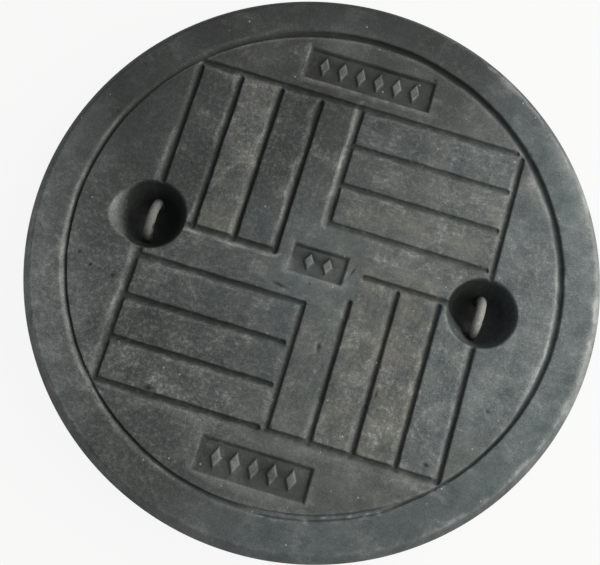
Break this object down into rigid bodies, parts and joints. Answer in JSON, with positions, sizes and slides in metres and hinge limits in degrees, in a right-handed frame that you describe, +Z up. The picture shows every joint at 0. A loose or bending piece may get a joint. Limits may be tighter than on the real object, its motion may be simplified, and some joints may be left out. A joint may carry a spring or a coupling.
{
  "type": "concrete manhole cover",
  "caption": "Round precast concrete manhole cover with a grooved basket-weave face, sunk panels and cast-in steel lifting bars in round pockets.",
  "frame": {"origin": "middle of the underside", "axes": "+Z up through the patterned face, X through the middles of both lifting pockets"},
  "size_m": [0.6, 0.6, 0.075],
  "materials": {
    "concrete": "moulded dark grey steel-fibre concrete, scuffed paler along the slats and lips",
    "bar_steel": "round mild steel bar, dulled grey by cement"
  },
  "bodies": {
    "root": {"cover_slab": "concrete", "lifting_bars": "bar_steel"}
  },
  "joints": []
}
